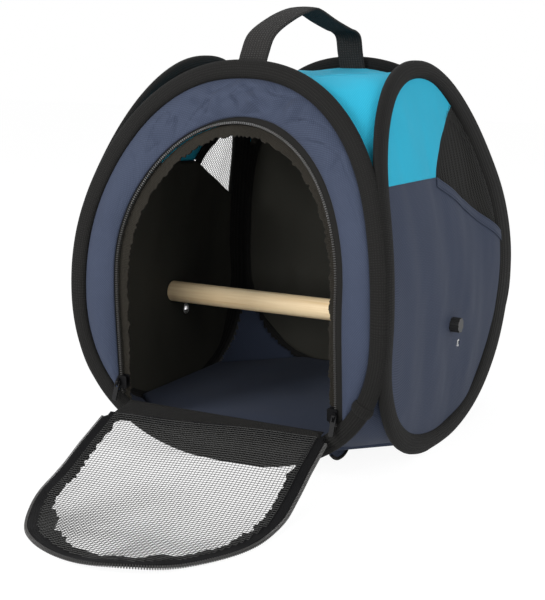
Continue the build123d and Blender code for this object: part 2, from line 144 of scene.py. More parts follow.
def woven(name, colour, thread, rough=0.8, shade=0.12, depth=0.25, lighter=1.25, gloss=0.08, fuzz=0.02, bias=0.0):
    """A plain weave with uneven dye: warp and weft bands over the cloth's own UV, in metres."""
    finish = bpy.data.materials.new(name)
    finish.use_nodes = True
    nodes, links = finish.node_tree.nodes, finish.node_tree.links
    shader = nodes["Principled BSDF"]
    shader.inputs["Roughness"].default_value = rough
    shader.inputs["Sheen Weight"].default_value = fuzz
    shader.inputs["Specular IOR Level"].default_value = gloss
    place = nodes.new("ShaderNodeTexCoord")
    turned = nodes.new("ShaderNodeMapping")
    turned.inputs["Rotation"].default_value = (0, 0, radians(bias))
    links.new(place.outputs["UV"], turned.inputs["Vector"])
    bands = []
    for direction in ("X", "Y"):
        band = nodes.new("ShaderNodeTexWave")
        band.bands_direction = direction
        band.inputs["Scale"].default_value = 0.314 / thread
        band.inputs["Distortion"].default_value = 0.6
        links.new(turned.outputs["Vector"], band.inputs["Vector"])
        bands.append(band)
    weave = nodes.new("ShaderNodeMath")
    weave.operation = "MULTIPLY"
    links.new(bands[0].outputs["Fac"], weave.inputs[0])
    links.new(bands[1].outputs["Fac"], weave.inputs[1])
    dye = nodes.new("ShaderNodeTexNoise")
    dye.inputs["Scale"].default_value = 28
    dye.inputs["Detail"].default_value = 6
    links.new(place.outputs["Object"], dye.inputs["Vector"])
    uneven = nodes.new("ShaderNodeMix")
    uneven.data_type = "RGBA"
    uneven.inputs["A"].default_value = (*[c * (1 - shade) for c in colour], 1)
    uneven.inputs["B"].default_value = (*[c * (1 + shade) for c in colour], 1)
    links.new(dye.outputs["Fac"], uneven.inputs["Factor"])
    threads = nodes.new("ShaderNodeMix")
    threads.data_type = "RGBA"
    threads.inputs["B"].default_value = (*[min(c * lighter, 1) for c in colour], 1)
    links.new(weave.outputs["Value"], threads.inputs["Factor"])
    links.new(uneven.outputs["Result"], threads.inputs["A"])
    links.new(threads.outputs["Result"], shader.inputs["Base Color"])
    bump = nodes.new("ShaderNodeBump")
    bump.inputs["Strength"].default_value = depth
    bump.inputs["Distance"].default_value = thread / 2
    links.new(weave.outputs["Value"], bump.inputs["Height"])
    links.new(bump.outputs["Normal"], shader.inputs["Normal"])
    return finish


black_tape = woven("black_tape", (0.0072, 0.007, 0.0067), 0.0014, rough=0.75, depth=0.6, lighter=2.3)


def tape_round(side):
    half = 0.0074 if side == "front" else 0.0086
    rear = {"right": 1, "left": -1}.get(side, 0)

    def place(s, t):
        angle, turn = 2 * pi * s, 2 * pi * t
        u, height = hoop_point(angle, half - 0.0002)
        ahead, ahead_height = hoop_point(angle + 0.002, half - 0.0002)
        along = Vector((ahead - u, ahead_height - height)).normalized()
        wobble = 1 + 0.1 * noise.noise(Vector((u, height, turns[side] / 50)) * 25)
        inward = half + abs(rear) * (0.02 * max(rear * cos(angle), 0) ** 1.5 - 0.0025 * max(sin(angle), 0) ** 6)
        wide = abs(cos(turn)) ** 0.8 * (half if cos(turn) > 0 else -inward)
        thick = 0.0041 * wobble * abs(sin(turn)) ** 0.8 * (1 if sin(turn) > 0 else -1)
        u += wide * along.y
        height -= wide * along.x
        return on_wall(side, u, max(height, 0.0006), thick)
    return place


for side in turns:
    tape = lay(side + "_tape", tape_round(side), 260, 16, (0.92, 0.036), (True, True))
    tape.data.flip_normals()
    tape.data.materials.append(black_tape)
    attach(tape, "cabin")
    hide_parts(side + "_hoop_tape")


def tape_join(s, t):
    """The front tape's ends meet low on its right, under a short turned-back wrap."""
    angle, turn = radians(-28.2) + (s - 0.5) * 0.085, 2 * pi * t
    swell = sin(pi * s) ** 0.4
    u, height = hoop_point(angle, 0.0074)
    ahead, ahead_height = hoop_point(angle + 0.002, 0.0074)
    along = Vector((ahead - u, ahead_height - height)).normalized()
    wide = (0.0068 + 0.0022 * swell) * cos(turn)
    return on_wall("front", u + wide * along.y, height - wide * along.x, (0.0034 + 0.0032 * swell) * sin(turn))


join = lay("front_tape_join", tape_join, 24, 32, (0.012, 0.036), (False, True))
join.data.flip_normals()
join.data.materials.append(black_tape)
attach(join, "cabin")


# Front panel: a navy woven panel, lightly padded, that runs round the doorway from the tape to the zip.
# It is drawn tight by the hoop, so it puffs between its seams and gathers into short creases at the top.
sill, arch_spring, arch_rise, zip_half = 0.038, 0.15, 0.12, 0.0975
navy = woven("navy_cloth", (0.029, 0.037, 0.061), 0.0017, rough=0.7, lighter=1.7, gloss=0.12, fuzz=0.03, bias=45)
gathers = [((0.0239, 0.3085), (0.0332, 0.2941), 0.0024, 0.0022), ((0.0035, 0.3012), (0.0265, 0.2827), 0.0022, 0.0026),
           ((-0.006, 0.3085), (-0.0085, 0.2967), 0.002, 0.0024), ((0.013, 0.2975), (-0.014, 0.2862), 0.0026, 0.0046),
           ((0.0485, 0.2945), (0.0307, 0.2768), 0.0026, 0.0042), ((0.0597, 0.2892), (0.0531, 0.2729), 0.0024, 0.004),
           ((-0.0425, 0.288), (-0.0203, 0.2752), 0.0024, 0.0044), ((-0.078, 0.262), (-0.062, 0.246), 0.0018, 0.004),
           ((0.094, 0.251), (0.083, 0.23), 0.0018, 0.0036), ((-0.117, 0.19), (-0.106, 0.172), 0.0014, 0.004)]


def arch_point(angle, outset):
    """Where a ray from the doorway's middle meets its outline (along the wall, height), drawn out by outset."""
    half, rise, low = zip_half + outset, arch_rise + outset, sill - outset
    across, up = cos(angle), sin(angle)
    if up > 0:
        reach = 1 / sqrt((across / half) ** 2 + (up / rise) ** 2)
        return across * reach, arch_spring + up * reach
    sides = [half / abs(across) if abs(across) > 1e-6 else 9, (arch_spring - low) / abs(up) if up < -1e-6 else 9]
    return across * min(sides), arch_spring + up * min(sides)


def egg_point(angle, inset):
    """Where the same ray meets the hoop's outline, drawn in by inset."""
    near, far = 0.0, 0.25
    for _ in range(30):
        middle = (near + far) / 2
        u, height = middle * cos(angle), arch_spring + middle * sin(angle)
        fullness = 2.2 if height > widest else 2.35
        tall = (hoop_top - widest if height > widest else widest + 0.001) - inset
        inside = (abs(u) / (hoop_half - inset)) ** fullness + (abs(height - widest) / tall) ** fullness < 1
        near, far = (middle, far) if inside else (near, middle)
    return near * cos(angle), arch_spring + near * sin(angle)


def ring_points(angle, outset, inset):
    """Both ends of the front cloth along a ray; low in the corners it narrows to a millimetre."""
    inner, outer = arch_point(angle, outset), egg_point(angle, inset)
    near = Vector((inner[0], inner[1] - arch_spring)).length
    far = Vector((outer[0], outer[1] - arch_spring)).length
    share = min(1, (far - 0.001) / near)
    return (inner[0] * share, arch_spring + (inner[1] - arch_spring) * share), outer


def gathered(u, height):
    """How far the cloth is drawn in at its gathers, with the fullness on either side of each."""
    depth = 0.0
    for start, end, deep, wide in gathers:
        run, spot = Vector(end) - Vector(start), Vector((u, height)) - Vector(start)
        share = min(max(spot.dot(run) / run.length_squared, 0), 1)
        away = (spot - run * share).length / wide
        depth += deep * (0.45 * exp(-((away - 2.1) / 1.1) ** 2) - exp(-1.5 * away)) * (1 - 0.6 * share)
    return depth


def front_cloth(s, t):
    angle = 2 * pi * s - pi / 2
    inner, outer = ring_points(angle, 0.0045 + 0.004 * min(max(0.5 + 2 * cos(angle), 0), 1), 0.0075)
    u = inner[0] + (outer[0] - inner[0]) * t
    height = inner[1] + (outer[1] - inner[1]) * t
    width = sqrt((outer[0] - inner[0]) ** 2 + (outer[1] - inner[1]) ** 2)
    covered = min(0.0072 / width, 0.6)
    free = max(sin(pi * min(t / (1 - covered), 1)), 0)
    puff = min(width / 0.05, 1) * 0.0075 * free ** 0.7
    top = max(sin(angle), 0) ** 3
    crease = noise.noise(Vector((angle * 7 + t * 1.5, t * 1.2, 3.1))) * 0.004 * top
    crease += noise.noise(Vector((angle * 19, t * 2.0, 7.7))) * 0.0014 * (0.25 + top)
    fold = abs(noise.noise(Vector((angle * 6 + 2.5 * t, t * 2.2 + angle, 4.2))))
    crease -= max(1 - fold * 9, 0) ** 2 * 0.0026 * (0.15 + top)
    ripple = noise.noise(Vector((u * 22, height * 22, 1.3))) * 0.002
    crease += 1.5 * gathered(u, height)
    return on_wall("front", u, height, puff + (crease + ripple) * free ** 0.9 - 0.0004)


front_panel = thicken(lay("front_panel_cloth", front_cloth, 560, 36, (0.82, 0.05), (True, False)), 0.0012)
front_panel.data.materials.append(navy)
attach(front_panel, "cabin")
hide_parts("front_panel")


# Side panels: navy cloth below, a turquoise corner piece above it in front, and a net window behind.
# Navy and turquoise meet in a plain seam; the window's lower edge is a double-stitched hem of navy cloth.
corner = {"right": (-0.012, 0.227), "left": (0.03, 0.2225)}
window_back = {"right": (0.13, 0.161), "left": (0.13, 0.171)}
seam_front, split_rise, split_run = 0.229, 0.0555, 0.0756
turquoise = woven("turquoise_cloth", (0.022, 0.36, 0.53), 0.0017, rough=0.7, shade=0.08, lighter=1.3, gloss=0.12, fuzz=0.03, bias=45)


def egg_high(u, inset):
    return widest + (hoop_top - widest - inset) * max(1 - (abs(u) / (hoop_half - inset)) ** 2.2, 0) ** (1 / 2.2)


def egg_low(u, inset):
    return widest - (widest - inset) * max(1 - (abs(u) / (hoop_half - inset)) ** 2.35, 0) ** (1 / 2.35)


def seam_height(side, u):
    """The upper edge of the navy cloth: level in front, then down along the window to the back."""
    (near, high), (far, low) = corner[side], window_back[side]
    if u < near:
        return high + (seam_front - high) * min((near - u) / 0.107, 1.2)
    return high + (low - high) * (u - near) / (far - near)


def split_height(side, u):
    """The line between the turquoise cloth and the window: the net draws it into a curve."""
    return corner[side][1] + split_rise * (max(u - corner[side][0], 0) / split_run) ** 0.72


def split_end(side):
    """Where that line runs under the hoop's tape."""
    u = corner[side][0]
    while split_height(side, u) < egg_high(u, 0.008):
        u += 0.0005
    return u


eyelet_spots, pinned = [Vector((0.0, 0.104)), Vector((0.022, 0.083))], 0.0012


def slack(u, height, seed):
    """How far stretched cloth stands out from its wall: a soft belly and faint upright folds, pinned by the eyelets."""
    edge = min(hoop_half - abs(u), hoop_top - height, height) / 0.06
    fold = noise.noise(Vector((u * 26 + height * 5, height * 6, seed))) * 0.003
    fold += noise.noise(Vector((u * 70 - height * 9, height * 20, seed + 2))) * 0.0005
    belly = (0.002 + fold + noise.noise(Vector((u * 12, height * 10, seed + 5))) * 0.0025) * max(min(edge, 1), 0)
    if seed == 33:
        return belly
    apart = min((Vector((u if seed < 20 else -u, height)) - spot).length for spot in eyelet_spots)
    free = min(max(apart - 0.006, 0) / 0.03, 1)
    return belly * free + pinned * (1 - free)


def round_eyelets(u, height):
    """Draws the weave outwards round the eyelets' holes."""
    for spot in eyelet_spots:
        apart = Vector((u, height)) - spot
        if apart.length < 0.008:
            u, height = spot + apart.normalized() * (0.0032 + 0.6 * apart.length)
    return u, height


def cut(piece, chosen):
    """Takes away a piece's chosen faces."""
    bpy.context.view_layer.objects.active = piece
    bpy.ops.object.mode_set(mode="EDIT")
    bpy.ops.mesh.select_mode(type="FACE")
    bpy.ops.mesh.select_all(action="DESELECT")
    bpy.ops.object.mode_set(mode="OBJECT")
    for face in piece.data.polygons:
        face.select = chosen(face)
    bpy.ops.object.mode_set(mode="EDIT")
    bpy.ops.mesh.delete(type="FACE")
    bpy.ops.object.mode_set(mode="OBJECT")


def wall_piece(side, name, left, right, low, high, finish, seed, columns=90, rows=70, outset=0.0):
    """Cloth of one wall between two edges and two outlines, mirrored on the left wall."""
    flip = -1 if side == "left" else 1

    def place(s, t):
        u = left + (right - left) * s
        bottom, top = low(u), high(u)
        height = bottom + (max(top, bottom) - bottom) * t
        if side != "back":
            u, height = round_eyelets(u, height)
        return on_wall(side, u * flip, height, outset + slack(u * flip, height, seed))

    piece = lay(name, place, columns, rows, (right - left, 0.2))
    if side != "back":
        centres = [on_wall(side, spot.x * flip, spot.y, outset + pinned) for spot in eyelet_spots]
        cut(piece, lambda face: min((face.center - centre).length for centre in centres) < 0.0032)
    thicken(piece, 0.0008)
    piece.data.materials.append(finish)
    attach(piece, "cabin")
    return piece


for side in ("right", "left"):
    seed, near = turns[side] / 10, corner[side][0]
    lower = wall_piece(side, side + "_navy_cloth", -0.1358, 0.1358, lambda u: egg_low(u, 0.008),
                       lambda u: min(seam_height(side, u), egg_high(u, 0.008)), navy, seed, 120, 80)
    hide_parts(side + "_lower_panel")
    upper = wall_piece(side, side + "_turquoise_cloth", -0.1135, split_end(side),
                       lambda u: min((seam_height if u < near else split_height)(side, u), egg_high(u, 0.008)),
                       lambda u: egg_high(u, 0.008), turquoise, seed, 80, 40)
    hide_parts(side + "_upper_panel")


# Window nets: black knotless net with square meshes about two and a half millimetres wide.
# The lower hem and the two seams hold it, and the hoop's tape covers its upper edge.
net_pitch, net_thread = 0.0027, 0.0006
net_black = bpy.data.materials.new("black_net")
net_black.use_nodes = True
net_black.node_tree.nodes["Principled BSDF"].inputs["Base Color"].default_value = (0.028, 0.028, 0.027, 1)
net_black.node_tree.nodes["Principled BSDF"].inputs["Roughness"].default_value = 0.6
net_black.node_tree.nodes["Principled BSDF"].inputs["Specular IOR Level"].default_value = 0.3
knot_place = net_black.node_tree.nodes.new("ShaderNodeTexCoord")
knots = net_black.node_tree.nodes.new("ShaderNodeTexNoise")
knots.inputs["Scale"].default_value = 900
net_black.node_tree.links.new(knot_place.outputs["Object"], knots.inputs["Vector"])
knot_bump = net_black.node_tree.nodes.new("ShaderNodeBump")
knot_bump.inputs["Distance"].default_value = 0.0001
net_black.node_tree.links.new(knots.outputs["Fac"], knot_bump.inputs["Height"])
net_black.node_tree.links.new(knot_bump.outputs["Normal"], net_black.node_tree.nodes["Principled BSDF"].inputs["Normal"])


def net(name, wide, tall, keep, place, bias=0.0):
    """A flat grid of meshes, turned by bias, cut by keep(u, height), laid in place and made threads."""
    columns, rows = int((wide[1] - wide[0]) / net_pitch), int((tall[1] - tall[0]) / net_pitch)
    middle = Vector(((wide[0] + wide[1]) / 2, (tall[0] + tall[1]) / 2, 0))
    bpy.ops.mesh.primitive_grid_add(x_subdivisions=columns, y_subdivisions=rows, size=1)
    piece = bpy.context.object
    piece.name = piece.data.name = name
    bpy.ops.object.mode_set(mode="EDIT")
    bpy.ops.mesh.select_mode(type="VERT")
    bpy.ops.transform.resize(value=(columns * net_pitch, rows * net_pitch, 1))
    bpy.ops.transform.rotate(value=radians(bias), orient_axis="Z", center_override=(0, 0, 0))
    bpy.ops.transform.translate(value=middle)
    bpy.ops.mesh.select_all(action="DESELECT")
    bpy.ops.object.mode_set(mode="OBJECT")
    for point in piece.data.vertices:
        point.select = not keep(point.co.x, point.co.y)
    bpy.ops.object.mode_set(mode="EDIT")
    bpy.ops.mesh.delete(type="VERT")
    bpy.ops.object.mode_set(mode="OBJECT")
    for point in piece.data.vertices:
        point.co = place(point.co.x, point.co.y)
    threads = piece.modifiers.new("threads", "WIREFRAME")
    threads.thickness, threads.use_even_offset, threads.use_relative_offset = net_thread, False, False
    bpy.ops.object.modifier_apply(modifier=threads.name)
    piece.data.materials.append(net_black)
    bpy.ops.object.select_all(action="DESELECT")
    return piece


def in_window(u, height):
    inside_hoop = height < egg_high(u, 0.01) and corner[side][0] < u < 0.133
    return inside_hoop and seam_height(side, u) - 0.002 < height < split_height(side, u) + 0.004


for side in ("right", "left"):
    flip = 1 if side == "right" else -1
    window = net(side + "_net", (-0.05, 0.17), (0.12, 0.34), in_window,
                 lambda u, height: on_wall(side, u * flip, height, 0.5 * slack(u * flip, height, turns[side] / 10)), 45)
    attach(window, "cabin")
    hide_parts(side + "_window_net")


# Window edges: the navy cloth's hem is turned over the net and stitched twice, outside.
# Inside, black tape covers the seam between the bright corner piece and the net.
def wall_strip(side, name, edge, start, end, width, outset, finish, stitched=0.0, above=0.0):
    """A strip of cloth along the line edge(side, u) of a side wall, with two rows of stitches sunk in it."""
    flip = -1 if side == "left" else 1

    def place(s, t):
        u = start + (end - start) * t
        along = Vector((0.001, edge(side, u + 0.001) - edge(side, u))).normalized()
        spot = Vector((u, edge(side, u))) + Vector((-along.y, along.x)) * (width * (s - 1) + above)
        near_row = max(1 - abs(abs(s - 0.5) - 0.3) / 0.07, 0)
        sunk = stitched * near_row * (0.6 + 0.4 * sin(2 * pi * u / 0.0026))
        lift = slack(spot.x * flip, spot.y, turns[side] / 10)
        if outset < 0:
            lift = min(lift, lift / 2)
        return on_wall(side, spot.x * flip, spot.y, outset + lift - sunk)

    strip = thicken(lay(name, place, 24, 240, (width, end - start)), 0.0005)
    strip.data.materials.append(finish)
    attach(strip, "cabin")
    return strip


for side in ("right", "left"):
    near = corner[side][0]
    hem = wall_strip(side, side + "_window_hem", seam_height, near, 0.118, 0.008, 0.0011, navy, 0.0008)
    seam_tape = wall_strip(side, side + "_window_seam_tape", split_height, near - 0.003, split_end(side), 0.012,
                           -0.0016, black_tape, above=0.005)
    0.0135 * (split_end(side) - near)


# Back panel: plain navy cloth, and black linings inside all four walls.
# The linings are thin coated cloth, sewn in with the same tapes, and they end at the windows and the zip.
lining_black = woven("black_lining", (0.03, 0.029, 0.024), 0.0009, rough=0.6, lighter=1.4)
back = wall_piece("back", "back_navy_cloth", -0.1358, 0.1358, lambda u: egg_low(u, 0.008),
                  lambda u: egg_high(u, 0.008), navy, 33)
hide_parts("back_panel")
back_lining = wall_piece("back", "back_black_lining", -0.131, 0.131, lambda u: egg_low(u, 0.013),
                         lambda u: egg_high(u, 0.013), lining_black, 33, outset=-0.0034)
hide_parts("back_lining")
for side in ("right", "left"):
    lining = wall_piece(side, side + "_black_lining", -0.131, 0.131, lambda u: egg_low(u, 0.013),
                        lambda u: min(seam_height(side, u), egg_high(u, 0.013)), lining_black, turns[side] / 10,
                        outset=-0.0031)
    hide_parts(side + "_lining")


def front_inside(s, t):
    angle = 2 * pi * s - pi / 2
    inner, outer = ring_points(angle, 0.012, 0.012)
    u = inner[0] + (outer[0] - inner[0]) * t
    height = inner[1] + (outer[1] - inner[1]) * t
    return on_wall("front", u, height, -0.0032 - 0.002 * sin(pi * t))


front_lining = thicken(lay("front_black_lining", front_inside, 200, 8, (0.82, 0.05), (True, False)), 0.0008)
front_lining.data.materials.append(lining_black)
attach(front_lining, "cabin")
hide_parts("front_lining")


# Top and bottom cloth: turquoise above and navy below, sewn between the hoops' arcs.
# In each corner the cloth is a gusset, pulled straight from one hoop to the next, and the middle sags a little.
def hoop_edge(height, inset):
    fullness = 2.2 if height > widest else 2.35
    tall = (hoop_top - widest if height > widest else widest + 0.001) - inset
    return (hoop_half - inset) * max(1 - (abs(height - widest) / tall) ** fullness, 0) ** (1 / fullness)


def between_hoops(start, end, sag, seed, inward=0.0):
    """A dome round the carrier's middle: s goes round it, t from the hoops' parting to its middle."""
    def place(s, t):
        angle = 2 * pi * s
        rim = min(t / 0.7, 1)
        height = start + (end - start) * sin(pi / 2 * rim)
        far = wall_at(height) - 0.0046 - inward
        half = min(max(hoop_edge(height, 0.0095), 0.012), far) - inward
        across, ahead = cos(angle), sin(angle)
        flat_side = far / max(abs(across), abs(ahead))
        cut_corner = (far + half) / (abs(across) + abs(ahead))
        reach = min(flat_side, cut_corner) * (1 - max(t - 0.7, 0) / 0.3)
        u, v = across * reach, ahead * reach
        dip = sag * max(1 - (u * u + v * v) / 0.0125, 0)
        fold = noise.noise(Vector((u * 18, v * 18, seed))) * 0.003
        fold += noise.noise(Vector((u * 50, v * 35, seed + 3))) * 0.001
        near_seam = min(max((far - max(abs(u), abs(v))) / 0.02, 0), 1)
        return Vector((u, v + middle_y, height - dip + fold * near_seam))
    return place


def open_sides(piece, inward=0.0):
    """Takes away what lies within a hoop, where the wall's own cloth is."""
    bpy.context.view_layer.objects.active = piece
    bpy.ops.object.mode_set(mode="EDIT")
    bpy.ops.mesh.select_mode(type="VERT")
    bpy.ops.mesh.select_all(action="DESELECT")
    bpy.ops.object.mode_set(mode="OBJECT")
    for point in piece.data.vertices:
        u, v, height = abs(point.co.x), abs(point.co.y - middle_y), point.co.z
        far, half = wall_at(height) - 0.0046 - inward, hoop_edge(height, 0.0095) - inward
        point.select = max(u, v) > far - 0.001 and min(u, v) < half - 0.002 and half > 0.03
    bpy.ops.object.mode_set(mode="EDIT")
    bpy.ops.mesh.delete(type="VERT")
    bpy.ops.object.mode_set(mode="OBJECT")
    return piece


top = lay("top_turquoise_cloth", between_hoops(0.236, 0.3105, 0.005, 51), 320, 60, (1.0, 0.2), (True, False))
thicken(open_sides(top), 0.001)
top.data.materials.append(turquoise)
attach(top, "cabin")
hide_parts("top_panel")
ceiling = lay("top_black_lining", between_hoops(0.233, 0.3085, 0.005, 51, 0.0016), 320, 60, (1.0, 0.2), (True, False))
thicken(open_sides(ceiling, 0.0016), 0.0006)
ceiling.data.materials.append(lining_black)
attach(ceiling, "cabin")
bottom = lay("bottom_navy_cloth", between_hoops(0.078, 0.0085, 0.0, 57), 320, 60, (1.0, 0.2), (True, False))
thicken(open_sides(bottom), 0.001)
bottom.data.flip_normals()
bottom.data.materials.append(navy)
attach(bottom, "cabin")
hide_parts("bottom_panel")


# Corner tab: a rounded tongue of navy cloth under the front right corner, bound in black.
# The bottom cloth's seam holds its upper edge; a hand pulls it to open the folded carrier.
def tab_edge(s):
    """The tongue's rounded lower edge, from front to back."""
    return Vector((0.0825, 0.004 + 0.042 * s, 0.0042 + 0.0105 * abs(2 * s - 0.85) ** 2.2))


def tab_cloth(s, t):
    low = tab_edge(s)
    return Vector((low.x - 0.003 * (1 - t), low.y, low.z + (0.0165 - low.z) * (1 - t)))


tab = thicken(lay("corner_tab", tab_cloth, 24, 10, (0.034, 0.014)), 0.0012)
tab.data.materials.append(navy)
binding = lay("corner_tab_binding", lambda s, t: tab_edge(s) + Vector((cos(2 * pi * t), 0, sin(2 * pi * t))) * 0.0016,
              32, 10, (0.036, 0.01), (False, True))
binding.data.materials.append(black_tape)
for piece, slot in ((tab, "navy_cloth"), (binding, "black_tape")):
    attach(piece, "cabin")


# Floor mat: a thin wadded pad in navy cloth that lies on the stiff base board and fills the bottom.
mat_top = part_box("floor_mat")[1].z
mat_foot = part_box("floor_mat")[0].z


def mat_place(s, t):
    angle = 2 * pi * s
    across, ahead = cos(angle), sin(angle)
    reach = min(0.1275 / max(abs(across), abs(ahead)), 0.192 / (abs(across) + abs(ahead)))
    side = min(t / 0.16, 1)
    edge = 1 - 0.02 * (1 - sin(pi * side))
    inward = max(t - 0.16, 0) / 0.84
    height = mat_foot + (mat_top - mat_foot) * (0.5 - 0.5 * cos(pi * side))
    u, v = across * reach * edge * (1 - inward), ahead * reach * edge * (1 - inward)
    belly = noise.noise(Vector((u * 20, v * 20, 91))) * 0.0012 * min(inward * 6, 1)
    return Vector((u, v + middle_y, height + belly))


mat = lay("floor_mat_cloth", mat_place, 200, 60, (1.0, 0.14), (True, False))
bpy.context.view_layer.objects.active = mat
bpy.ops.object.mode_set(mode="EDIT")
bpy.ops.mesh.select_all(action="SELECT")
bpy.ops.mesh.remove_doubles(threshold=0.00001)
bpy.ops.mesh.select_all(action="DESELECT")
bpy.ops.mesh.select_non_manifold()
bpy.ops.mesh.edge_face_add()
bpy.ops.mesh.select_all(action="SELECT")
bpy.ops.mesh.normals_make_consistent(inside=False)
bpy.ops.object.mode_set(mode="OBJECT")
mat.data.materials.append(navy)
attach(mat, "cabin")
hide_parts("floor_mat")


# Doorway zip: moulded teeth on a black tape that is sewn behind the front panel's edge.
# Inside the teeth a raw-edged facing shows, frayed along its inner side.
def arch_path(outset, low):
    """The doorway's outline from its left foot over the top to its right foot."""
    half, rise = zip_half + outset, arch_rise + outset
    left = [(-half, low + (arch_spring - low) * i / 60) for i in range(60)]
    over = [(-half * cos(pi * i / 160), arch_spring + rise * sin(pi * i / 160)) for i in range(161)]
    return left + over + [(-u, height) for u, height in reversed(left)]


def spaced(path, pitch):
    """Places along a path at an even pitch, each with the path's direction there."""
    places, carried = [], 0.0
    for (u, height), (next_u, next_height) in zip(path, path[1:]):
        step = Vector((next_u - u, next_height - height))
        while carried < step.length:
            places.append((Vector((u, height)) + step.normalized() * carried, step.normalized()))
            carried += pitch
        carried -= step.length
    return places


def teeth(name, outset, low, place, body, node):
    """One row of zip teeth: a single tooth, modelled and then copied along the chain."""
    bpy.ops.mesh.primitive_cube_add(size=1)
    tooth = bpy.context.object
    bpy.ops.object.mode_set(mode="EDIT")
    bpy.ops.transform.resize(value=(0.001, 0.0022, 0.0026))
    bpy.ops.mesh.bevel(offset=0.0003, segments=1)
    bpy.ops.object.mode_set(mode="OBJECT")
    shape = [point.co.copy() for point in tooth.data.vertices]
    sides = [list(face.vertices) for face in tooth.data.polygons]
    bpy.data.objects.remove(tooth)
    points, faces = [], []
    for spot, along in spaced(arch_path(outset, low), 0.0018):
        start = len(points)
        for point in shape:
            u = spot.x + along.x * point.x - along.y * point.y
            height = spot.y + along.y * point.x + along.x * point.y
            points.append(place(u, height, -0.00125 + point.z))
        faces += [[start + i for i in side] for side in sides]
    mesh = bpy.data.meshes.new(name)
    mesh.from_pydata(points, [], faces)
    row = bpy.data.objects.new(name, mesh)
    bpy.context.collection.objects.link(row)
    bpy.context.view_layer.objects.active = row
    row.select_set(True)
    bpy.ops.object.mode_set(mode="EDIT")
    bpy.ops.mesh.select_all(action="SELECT")
    bpy.ops.mesh.normals_make_consistent(inside=False)
    bpy.ops.object.mode_set(mode="OBJECT")
    bpy.ops.object.select_all(action="DESELECT")
    row.data.materials.append(zip_plastic)
    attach(row, body)
    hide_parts(node)
    return row


def plain_finish(name, colour, rough, metal=0.0, grain=600, depth=0.00005, shine=0.5):
    """A smooth hard finish with a fine unevenness."""
    finish = bpy.data.materials.new(name)
    finish.use_nodes = True
    nodes, links = finish.node_tree.nodes, finish.node_tree.links
    shader = nodes["Principled BSDF"]
    shader.inputs["Roughness"].default_value = rough
    shader.inputs["Metallic"].default_value = metal
    shader.inputs["Specular IOR Level"].default_value = shine
    place = nodes.new("ShaderNodeTexCoord")
    speckle = nodes.new("ShaderNodeTexNoise")
    speckle.inputs["Scale"].default_value = grain
    links.new(place.outputs["Object"], speckle.inputs["Vector"])
    tone = nodes.new("ShaderNodeMix")
    tone.data_type = "RGBA"
    tone.inputs["A"].default_value = (*[c * 0.85 for c in colour], 1)
    tone.inputs["B"].default_value = (*[min(c * 1.15, 1) for c in colour], 1)
    links.new(speckle.outputs["Fac"], tone.inputs["Factor"])
    links.new(tone.outputs["Result"], shader.inputs["Base Color"])
    bump = nodes.new("ShaderNodeBump")
    bump.inputs["Distance"].default_value = depth
    links.new(speckle.outputs["Fac"], bump.inputs["Height"])
    links.new(bump.outputs["Normal"], shader.inputs["Normal"])
    return finish


zip_plastic = plain_finish("zip_plastic", (0.03, 0.029, 0.028), 0.35)
teeth("doorway_teeth", 0.0019, sill + 0.002, lambda u, height, out: on_wall("front", u, height, out), "cabin",
      "doorway_zip_teeth")


def zip_band(inner, outer, outset, ragged, seed, fuller=0.0):
    """A band along the doorway, from inner to outer beyond its outline; fuller widens it over the left."""
    def place(s, t):
        path = zip_outline
        spot = s * (len(path) - 1)
        low = int(min(spot, len(path) - 2))
        u = path[low][0] + (path[low + 1][0] - path[low][0]) * (spot - low)
        height = path[low][1] + (path[low + 1][1] - path[low][1]) * (spot - low)
        out = Vector((u, max(height - arch_spring, 0) * 0.8)).normalized()
        fray = ragged * (noise.noise(Vector((s * 260, 0.5, seed))) + 0.6 * noise.noise(Vector((s * 60, 3, seed))))
        wide = inner * (1 + fuller * max(sin(pi * min(s / 0.75, 1)), 0))
        draw = (wide + fray) * (1 - t) + outer * t
        rough = ragged * 0.35 * noise.noise(Vector((s * 300, t * 4, seed + 1)))
        return on_wall("front", u + out.x * draw, height + out.y * draw, outset + rough)
    return place


zip_outline = arch_path(0.0, sill + 0.001)
zip_black = woven("zip_tape", (0.009, 0.0088, 0.0083), 0.0009, rough=0.85, lighter=1.8)
frayed = woven("frayed_facing", (0.014, 0.0125, 0.01), 0.0012, rough=0.95, shade=0.7, depth=0.6, lighter=2.6)
zip_tape = thicken(lay("doorway_tape", zip_band(0.0022, 0.0125, -0.0011, 0.0, 1), 400, 6, (0.57, 0.01)), 0.0008)
zip_tape.data.materials.append(zip_black)
facing = lay("doorway_facing", zip_band(-0.0042, 0.001, -0.0042, 0.0018, 9, 1.0), 560, 10, (0.57, 0.01))
thicken(facing, 0.0012)
facing.data.materials.append(frayed)
for piece in (zip_tape, facing):
    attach(piece, "cabin")
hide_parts("doorway_zip_tape")


# Door: a net flap in a black cloth border, with its half of the zip along its outer edge.
# It is cut as the doorway, and lies open on the ground, hanging from the sill by its hinge tape.
door_joint = [joint for joint in frame["joints"] if joint["name"] == "door_swing"][0]
hinge_place = Matrix.Translation(door_joint["pos_m"])
opened = Matrix.Rotation(-radians(door_joint["range_deg"][1]), 4, Vector(door_joint["axis"]))
lay_open = hinge_place @ opened @ hinge_place.inverted()
door_low, border_width = 0.054, 0.0138


def on_door(u, height, outset=0.0):
    """A point of the open door, given where it is in the closed doorway; its far half lies loosely on the ground."""
    far = max(height - 0.1, 0) / 0.17
    drift = 0.006 * far ** 1.5 + 0.0025 * far * noise.noise(Vector((u * 28, height * 28, 17)))
    rise = 0.003 * far * max(noise.noise(Vector((u * 20, height * 20, 19))) + 0.1, 0)
    return lay_open @ on_wall("front", u + drift, height, outset) - Vector((0, 0, 0.0062 * far - rise))


